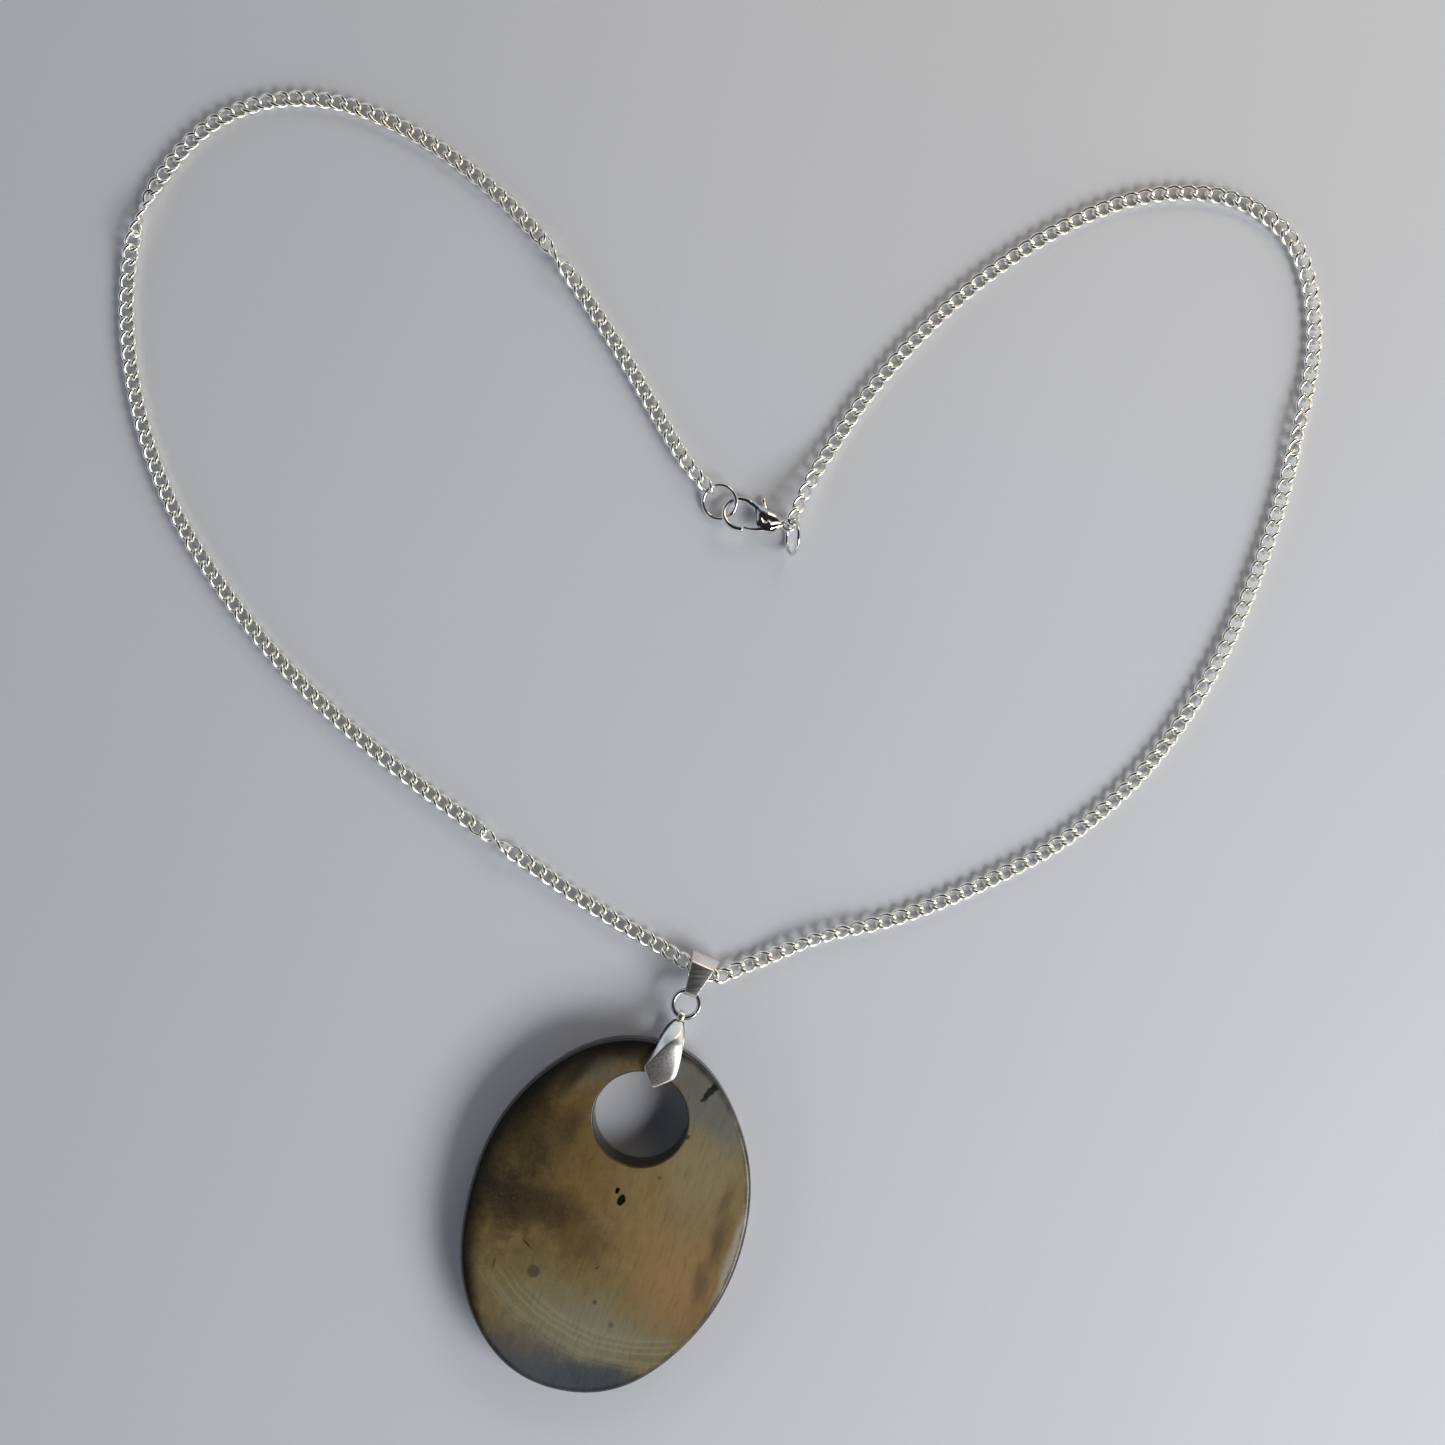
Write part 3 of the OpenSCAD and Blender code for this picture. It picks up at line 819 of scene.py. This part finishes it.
def make_prong(side):
    """A short pin that tapers down into the disc's hole."""
    path = [(0, -8.53, side * z) for z in (LEAF_FACE + 0.15, 1.9, 1.6, 1.35, 1.25)]
    return add_mesh("prong", *sweep(path, [0.38, 0.36, 0.33, 0.26, 0.14], 20, up=(1, 0, 0)))


leaf_bail = joined("leaf_bail", [make_leaf(1), make_leaf(-1), make_root(), make_prong(1), make_prong(-1)])
sharpen(leaf_bail, 45)
place(leaf_bail, at_clip())
wear(leaf_bail, satin_silver)
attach(leaf_bail, "pinch_bail")
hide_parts("pinch_bail")


# ---- Horn disc ----

DISC_LENGTH = 50
DISC_WIDTH = 38
DISC_THICK = 4.3
HOLE_R = 6.45
HOLE_MARGIN = 4.3
HOLE_ABOVE = DISC_LENGTH / 2 - HOLE_MARGIN - HOLE_R
HOLE_BEVEL = 0.28
# The face's edge is rounded off tightly, the back's over most of the disc's thickness
FACE_ROUNDING = 0.66
BACK_ROUNDING = 1.5
BACK_ROUNDING_HEIGHT = 2.6


def at_disc():
    return (Matrix.Translation(joint_at("disc_turn")) @ turn("Z", -HANG_ANGLE) @ turn("X", REST_TILT)
            @ turn("Z", DISC_TURN) @ Matrix.Translation((0, 0.5 - HOLE_R - HOLE_ABOVE, 0)))


def disc_edge(angle, inset):
    """A point of the disc's outline: a hand-cut ellipse, a little flat in places."""
    uneven = (0.10 * math.cos(3 * angle + 0.6) + 0.09 * math.cos(5 * angle - 1.1)
              + 0.06 * math.cos(8 * angle + 2.0) - 0.04)
    x = (DISC_WIDTH / 2 + uneven - inset) * math.cos(angle)
    y = (DISC_LENGTH / 2 + uneven - inset) * math.sin(angle)
    return x, y


def make_disc():
    """The disc as closed rows of points: hole edge, face, rim, back and hole edge again."""
    around = 288
    rings = 26
    rim_steps = 10
    hole_steps = 5
    half = DISC_THICK / 2
    points, rows = [], []

    def add_row(maker):
        rows.append(len(points))
        for n in range(around):
            points.append(maker(2 * math.pi * n / around))

    def hole_row(grow, z):
        add_row(lambda a: ((HOLE_R + grow) * math.cos(a), HOLE_ABOVE + (HOLE_R + grow) * math.sin(a), z))

    def face_row(share, side):
        def maker(a):
            hole_x = (HOLE_R + HOLE_BEVEL) * math.cos(a)
            hole_y = HOLE_ABOVE + (HOLE_R + HOLE_BEVEL) * math.sin(a)
            edge_x, edge_y = disc_edge(a, FACE_ROUNDING if side > 0 else BACK_ROUNDING)
            return hole_x + (edge_x - hole_x) * share, hole_y + (edge_y - hole_y) * share, side * half
        add_row(maker)

    def rim_row(angle):
        if angle >= 0:
            inset = FACE_ROUNDING * (1 - math.cos(angle))
            z = half - FACE_ROUNDING * (1 - math.sin(angle))
        else:
            inset = BACK_ROUNDING * (1 - math.cos(angle))
            z = -half + BACK_ROUNDING_HEIGHT * (1 + math.sin(angle))

        def maker(a):
            x, y = disc_edge(a, inset)
            return x, y, z
        add_row(maker)

    for k in range(hole_steps + 1):
        a = math.pi / 2 * k / hole_steps
        hole_row(HOLE_BEVEL * (1 - math.cos(a)), half - HOLE_BEVEL * (1 - math.sin(a)))
    for k in range(1, rings):
        face_row(k / rings, 1)
    for k in range(rim_steps, -1, -1):
        rim_row(math.pi / 2 * k / rim_steps)
    for k in range(rim_steps + 1):
        rim_row(-math.pi / 2 * k / rim_steps - 1e-6)
    for k in range(rings - 1, 0, -1):
        face_row(k / rings, -1)
    for k in range(hole_steps, -1, -1):
        a = math.pi / 2 * k / hole_steps
        hole_row(HOLE_BEVEL * (1 - math.cos(a)), -half + HOLE_BEVEL * (1 - math.sin(a)))
    faces = []
    for i in range(len(rows)):
        low, high = rows[i], rows[(i + 1) % len(rows)]
        faces += [(low + n, high + n, high + (n + 1) % around, low + (n + 1) % around) for n in range(around)]
    disc = add_mesh("horn_pendant", points, [f[::-1] for f in faces])
    uv = disc.data.uv_layers.new(name="plane")
    for loop in disc.data.loops:
        x, y, _ = points[loop.vertex_index]
        uv.data[loop.index].uv = (x / DISC_LENGTH + 0.5, y / DISC_LENGTH + 0.5)
    return place(disc, at_disc())


# Patches of colour: x, y and half sizes in mm on the disc, turn in degrees, softness, colour, strength
PATCHES = [
    (9, 3, 13, 22, 0, 0.9, (156, 132, 87), 0.75),
    (12, -6, 5, 8, 0, 0.8, (172, 134, 96), 0.55),
    (-6, 8, 5, 14, 8, 0.8, (122, 98, 56), 0.6),
    (-2, -13, 16, 7, 0, 0.9, (134, 120, 80), 0.7),
    (3, -15.5, 11, 5, 0, 0.9, (142, 141, 120), 0.75),
    # Painted sheen: a pale strip along the right edge stands in for the window's reflection on the rim
    (18.2, 3, 0.9, 12, 0, 0.9, (196, 190, 176), 0.65),
    (2, -24, 16, 5.5, 0, 0.7, (84, 92, 98), 0.9),
    (7, -21.5, 7, 2.4, 14, 0.8, (74, 82, 88), 0.8),
    (11, 12, 6, 9, 0, 0.9, (150, 140, 110), 0.7),
    (8.5, 20.0, 7.0, 4.5, -38, 0.8, (112, 116, 112), 0.8),
    (-14, -1, 4.0, 5, -20, 0.9, (34, 30, 26), 0.8),
    (-8, -1.5, 5.5, 3.2, 15, 0.9, (56, 44, 32), 0.75),
    (-1, -4, 4, 3, 30, 0.9, (84, 66, 44), 0.5),
    (-13, 9, 4, 8, 12, 0.9, (50, 40, 28), 0.75),
    (-8.5, 10, 1.4, 4.0, -6, 0.9, (62, 52, 40), 0.55),
    (-8.0, 19, 3.6, 2.6, 30, 0.9, (108, 106, 88), 0.75),
    (-10, 17.5, 0.9, 3.2, -20, 0.9, (44, 44, 40), 0.7),
    (-4.5, 23, 3.0, 1.6, 0, 0.8, (50, 52, 50), 0.8),
    (2.4, 22.4, 2.4, 1.8, 0, 0.8, (118, 120, 116), 0.85),
    (15.6, 2.3, 1.1, 3.6, 8, 0.9, (84, 70, 60), 0.6),
    (14.6, 7.7, 0.8, 2.6, -8, 0.9, (92, 76, 62), 0.5),
    (15.2, -4.2, 1.1, 2.8, 8, 0.9, (86, 72, 62), 0.6),
    (-6.67, -10.3, 0.95, 0.95, 0, 0.25, (78, 72, 60), 0.8),
    (2.66, -11.5, 0.34, 0.34, 0, 0.4, (70, 62, 44), 0.7),
    (5.7, -13.6, 0.42, 0.42, 0, 0.4, (92, 82, 60), 0.6),
    (7.0, 14.2, 0.36, 0.36, 0, 0.4, (60, 44, 34), 0.8),
    (5.0, 7.6, 0.32, 0.32, 0, 0.5, (84, 72, 50), 0.6),
    (-8.8, -7.0, 0.15, 0.9, 54, 0.5, (50, 42, 26), 0.8),
    (-11.9, -11.0, 0.15, 0.8, 8, 0.5, (44, 38, 26), 0.8),
    (1.24, -6.8, 0.14, 0.4, -40, 0.5, (60, 50, 34), 0.7),
    (0.4, 4.0, 0.28, 0.42, 10, 0.15, (6, 6, 8), 1.0),
    (1.3, 3.0, 0.52, 0.8, -12, 0.15, (6, 6, 8), 1.0),
    (8.2, 22.4, 0.42, 0.95, -46, 0.3, (14, 16, 26), 0.95),
    (7.9, 21.5, 0.42, 0.95, -46, 0.3, (14, 16, 26), 0.9),
    (7.6, 20.6, 0.38, 0.8, -46, 0.3, (18, 20, 28), 0.9),
    (7.3, 19.8, 0.28, 0.6, -46, 0.3, (22, 24, 32), 0.85),
]


THIN_PATCH = 2
FINE_WAVES = 1.2
SOFT_WAVES = 7


def horn_places(tree):
    """Places on the disc in millimetres from its middle: exact, slightly wavy and very wavy."""
    uv = node(tree, "ShaderNodeUVMap", uv_map="plane").outputs[0]
    centred = vector_node(tree, "SUBTRACT", uv, (0.5, 0.5, 0))
    flat = vector_node(tree, "MULTIPLY", centred, (DISC_LENGTH, DISC_LENGTH, DISC_LENGTH))
    waves = node(tree, "ShaderNodeTexNoise", {"Vector": flat, "Scale": 0.22, "Detail": 5, "Roughness": 0.6})
    shift = vector_node(tree, "SUBTRACT", waves.outputs[1], (0.5, 0.5, 0.5))
    fine = vector_node(tree, "ADD", flat, vector_node(tree, "MULTIPLY", shift, (FINE_WAVES, FINE_WAVES, 0)))
    soft = vector_node(tree, "ADD", flat, vector_node(tree, "MULTIPLY", shift, (SOFT_WAVES, SOFT_WAVES, 0)))
    return flat, fine, soft


def add_patches(tree, colour, fine, soft):
    for x, y, half_x, half_y, angle, softness, shade, strength in PATCHES:
        where = fine if min(half_x, half_y) < THIN_PATCH else soft
        local = node(tree, "ShaderNodeMapping", {
            "Vector": where, "Location": (x, y, 0), "Rotation": (0, 0, math.radians(angle)),
            "Scale": (half_x, half_y, 1),
        }, vector_type="TEXTURE").outputs[0]
        away = vector_length(tree, local)
        mask = span(tree, away, 1 + softness * 0.6, 1 - softness * 0.9, 0.0, strength)
        colour = blend_colour(tree, mask, colour, srgb(*shade))
    return colour


def add_growth_bands(tree, colour, flat, fine):
    """Thin pale arcs across the lower part."""
    reach = vector_length(tree, vector_node(tree, "SUBTRACT", fine, (4, 7, 0)))
    bands = noise(tree, node(tree, "ShaderNodeCombineXYZ", {0: reach}).outputs[0], 1.2, 3, 0.6)
    low = span(tree, node(tree, "ShaderNodeSeparateXYZ", {0: flat}).outputs[1], -9, -15)
    ring = math_node(tree, "MULTIPLY", span(tree, reach, 20.5, 22.5), span(tree, reach, 27.5, 25.5))
    part = math_node(tree, "MULTIPLY", low, ring)
    streak = math_node(tree, "MULTIPLY", part, span(tree, bands, 0.42, 0.72))
    return blend_colour(tree, math_node(tree, "MULTIPLY", streak, 0.55), colour, srgb(170, 166, 134))


def add_dark_rim_and_painted_shade(tree, colour, fine):
    """Darkens the rim to nearly black: partly the horn's own darker edge, partly painted shade, which is
    widest on the left and at the top, the side away from the window.
    """
    oval = vector_node(tree, "DIVIDE", fine, (DISC_WIDTH / 2, DISC_LENGTH / 2, 1))
    edge = vector_length(tree, oval)
    # Painted shade: the dark band grows wider towards the upper left, away from the window
    side = dot_product(tree, oval, (-0.9, 0.35, 0))
    painted_shade_widening = math_node(tree, "MULTIPLY", span(tree, side, 0.1, 0.9), 0.22)
    start = math_node(tree, "SUBTRACT", 0.95, painted_shade_widening)
    past_start = math_node(tree, "SUBTRACT", edge, start)
    depth = math_node(tree, "DIVIDE", past_start, math_node(tree, "SUBTRACT", 1.0, start))
    return blend_colour(tree, span(tree, depth, 0.0, 0.9, 0.0, 0.96), colour, srgb(15, 17, 19))


def add_painted_hole_shade(tree, colour, flat):
    # Painted shade: the hole's wall and the bevel round it are coloured nearly black
    from_hole = vector_length(tree, vector_node(tree, "SUBTRACT", flat, (0, HOLE_ABOVE, 0)))
    painted_wall_shade = span(tree, from_hole, HOLE_R + 0.35, HOLE_R + 0.1, 0.0, 0.9)
    return blend_colour(tree, painted_wall_shade, colour, srgb(30, 30, 30))


def horn_material():
    """Polished horn: warm patches under fibres and mottling, a painted sheen along the right edge, pale
    growth bands, a dark edge that is partly painted shade, and painted shade on the hole's wall.
    """
    material, tree, shader = new_material("polished_horn")
    flat, fine, soft = horn_places(tree)
    fibres = node(tree, "ShaderNodeMapping", {
        "Vector": flat, "Rotation": (0, 0, math.radians(12)), "Scale": (1.6, 0.22, 1),
    }).outputs[0]
    grain = noise(tree, fibres, 1.3, 6, 0.65, 0.4)
    mottle = noise(tree, flat, 0.5, 6, 0.62, 0.2)
    colour = blend_colour(tree, span(tree, mottle, 0.32, 0.68), srgb(94, 79, 50), srgb(130, 110, 70))
    colour = add_patches(tree, colour, fine, soft)
    colour = add_growth_bands(tree, colour, flat, fine)
    dark_fibres = span(tree, grain, 0.45, 0.75, 0.0, 0.28)
    colour = blend_colour(tree, dark_fibres, colour, srgb(60, 50, 34))
    pale_specks = span(tree, noise(tree, flat, 2.2, 5, 0.7), 0.5, 0.8, 0.0, 0.22)
    colour = blend_colour(tree, pale_specks, colour, srgb(166, 146, 96))
    colour = add_dark_rim_and_painted_shade(tree, colour, fine)
    colour = add_painted_hole_shade(tree, colour, flat)
    tree.links.new(colour, shader.inputs["Base Color"])
    roughness = node(tree, "ShaderNodeMapRange", {
        "Value": noise(tree, flat, 3.0, 6, 0.7), "From Min": 0.3, "From Max": 0.75,
        "To Min": 0.16, "To Max": 0.34,
    }).outputs["Result"]
    tree.links.new(roughness, shader.inputs["Roughness"])
    shader.inputs["IOR"].default_value = 1.54
    shader.inputs["Specular IOR Level"].default_value = 0.4
    shader.inputs["Coat Weight"].default_value = 0.12
    shader.inputs["Coat Roughness"].default_value = 0.08
    pits = noise(tree, flat, 6.0, 4, 0.7)
    fibre_relief = math_node(tree, "MULTIPLY", grain, 0.7)
    relief = math_node(tree, "ADD", fibre_relief, math_node(tree, "MULTIPLY", pits, 0.3))
    bump(tree, shader, relief, 1.0, 0.02 * MM)
    return material


disc = make_disc()
wear(disc, horn_material())
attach(disc, "disc")
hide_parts("horn_disc")


# ---- Paper, lights and sky ----

def make_floor():
    size = 8000
    lowest = CAD_BOX[0][2] / MM
    points = [(-size, -size, lowest), (size, -size, lowest), (size, size, lowest), (-size, size, lowest)]
    floor = place(add_mesh("paper", points, [(0, 1, 2, 3)], smooth=False), Matrix.Identity(4))
    material, tree, shader = new_material("pale_paper")
    where = node(tree, "ShaderNodeTexCoord").outputs["Object"]
    clouds = noise(tree, where, 18, 3, 0.5)
    colour = blend_colour(tree, clouds, (0.74, 0.76, 0.80, 1), (0.77, 0.785, 0.82, 1))
    tree.links.new(colour, shader.inputs["Base Color"])
    shader.inputs["Roughness"].default_value = 0.75
    shader.inputs["Specular IOR Level"].default_value = 0.25
    bump(tree, shader, noise(tree, where, 1600, 3, 0.6), 0.35, 0.05 * MM)
    floor.data.materials.append(material)


def make_light(name, azimuth, elevation, distance, size, watts, colour):
    data = bpy.data.lights.new(name, "AREA")
    data.shape = "RECTANGLE"
    data.size, data.size_y = (s * MM for s in size)
    data.energy = watts
    data.color = colour
    light = bpy.data.objects.new(name, data)
    a, e = math.radians(azimuth), math.radians(elevation)
    away = Vector((math.cos(a) * math.cos(e), math.sin(a) * math.cos(e), math.sin(e)))
    light.location = away * distance * MM
    light.rotation_euler = away.to_track_quat("Z", "Y").to_euler()
    bpy.context.scene.collection.objects.link(light)


def make_sky():
    """A pale room: brighter towards the window, darker straight overhead."""
    world = bpy.data.worlds.new("room")
    bpy.context.scene.world = world
    world.use_nodes = True
    tree = world.node_tree
    where = node(tree, "ShaderNodeTexCoord").outputs["Generated"]
    up = node(tree, "ShaderNodeSeparateXYZ", {0: where}).outputs[2]
    window = dot_product(tree, where, (0.82, -0.47, 0.32))
    room = blend_colour(tree, span(tree, window, -0.2, 0.9), (0.75, 0.85, 1.0, 1), (1.45, 1.42, 1.38, 1))
    dark = blend_colour(tree, span(tree, up, 0.36, 0.68), room, (0.03, 0.03, 0.035, 1))
    tree.links.new(dark, tree.nodes["Background"].inputs["Color"])
    tree.nodes["Background"].inputs["Strength"].default_value = 0.72


make_floor()
make_light("window", -37, 35, 580, (370, 250), 2.2, (0.97, 0.985, 1.0))
make_light("lamp", 58, 30, 360, (140, 110), 0.17, (1.0, 0.76, 0.46))
make_sky()
bpy.context.scene.view_settings.view_transform = "Standard"
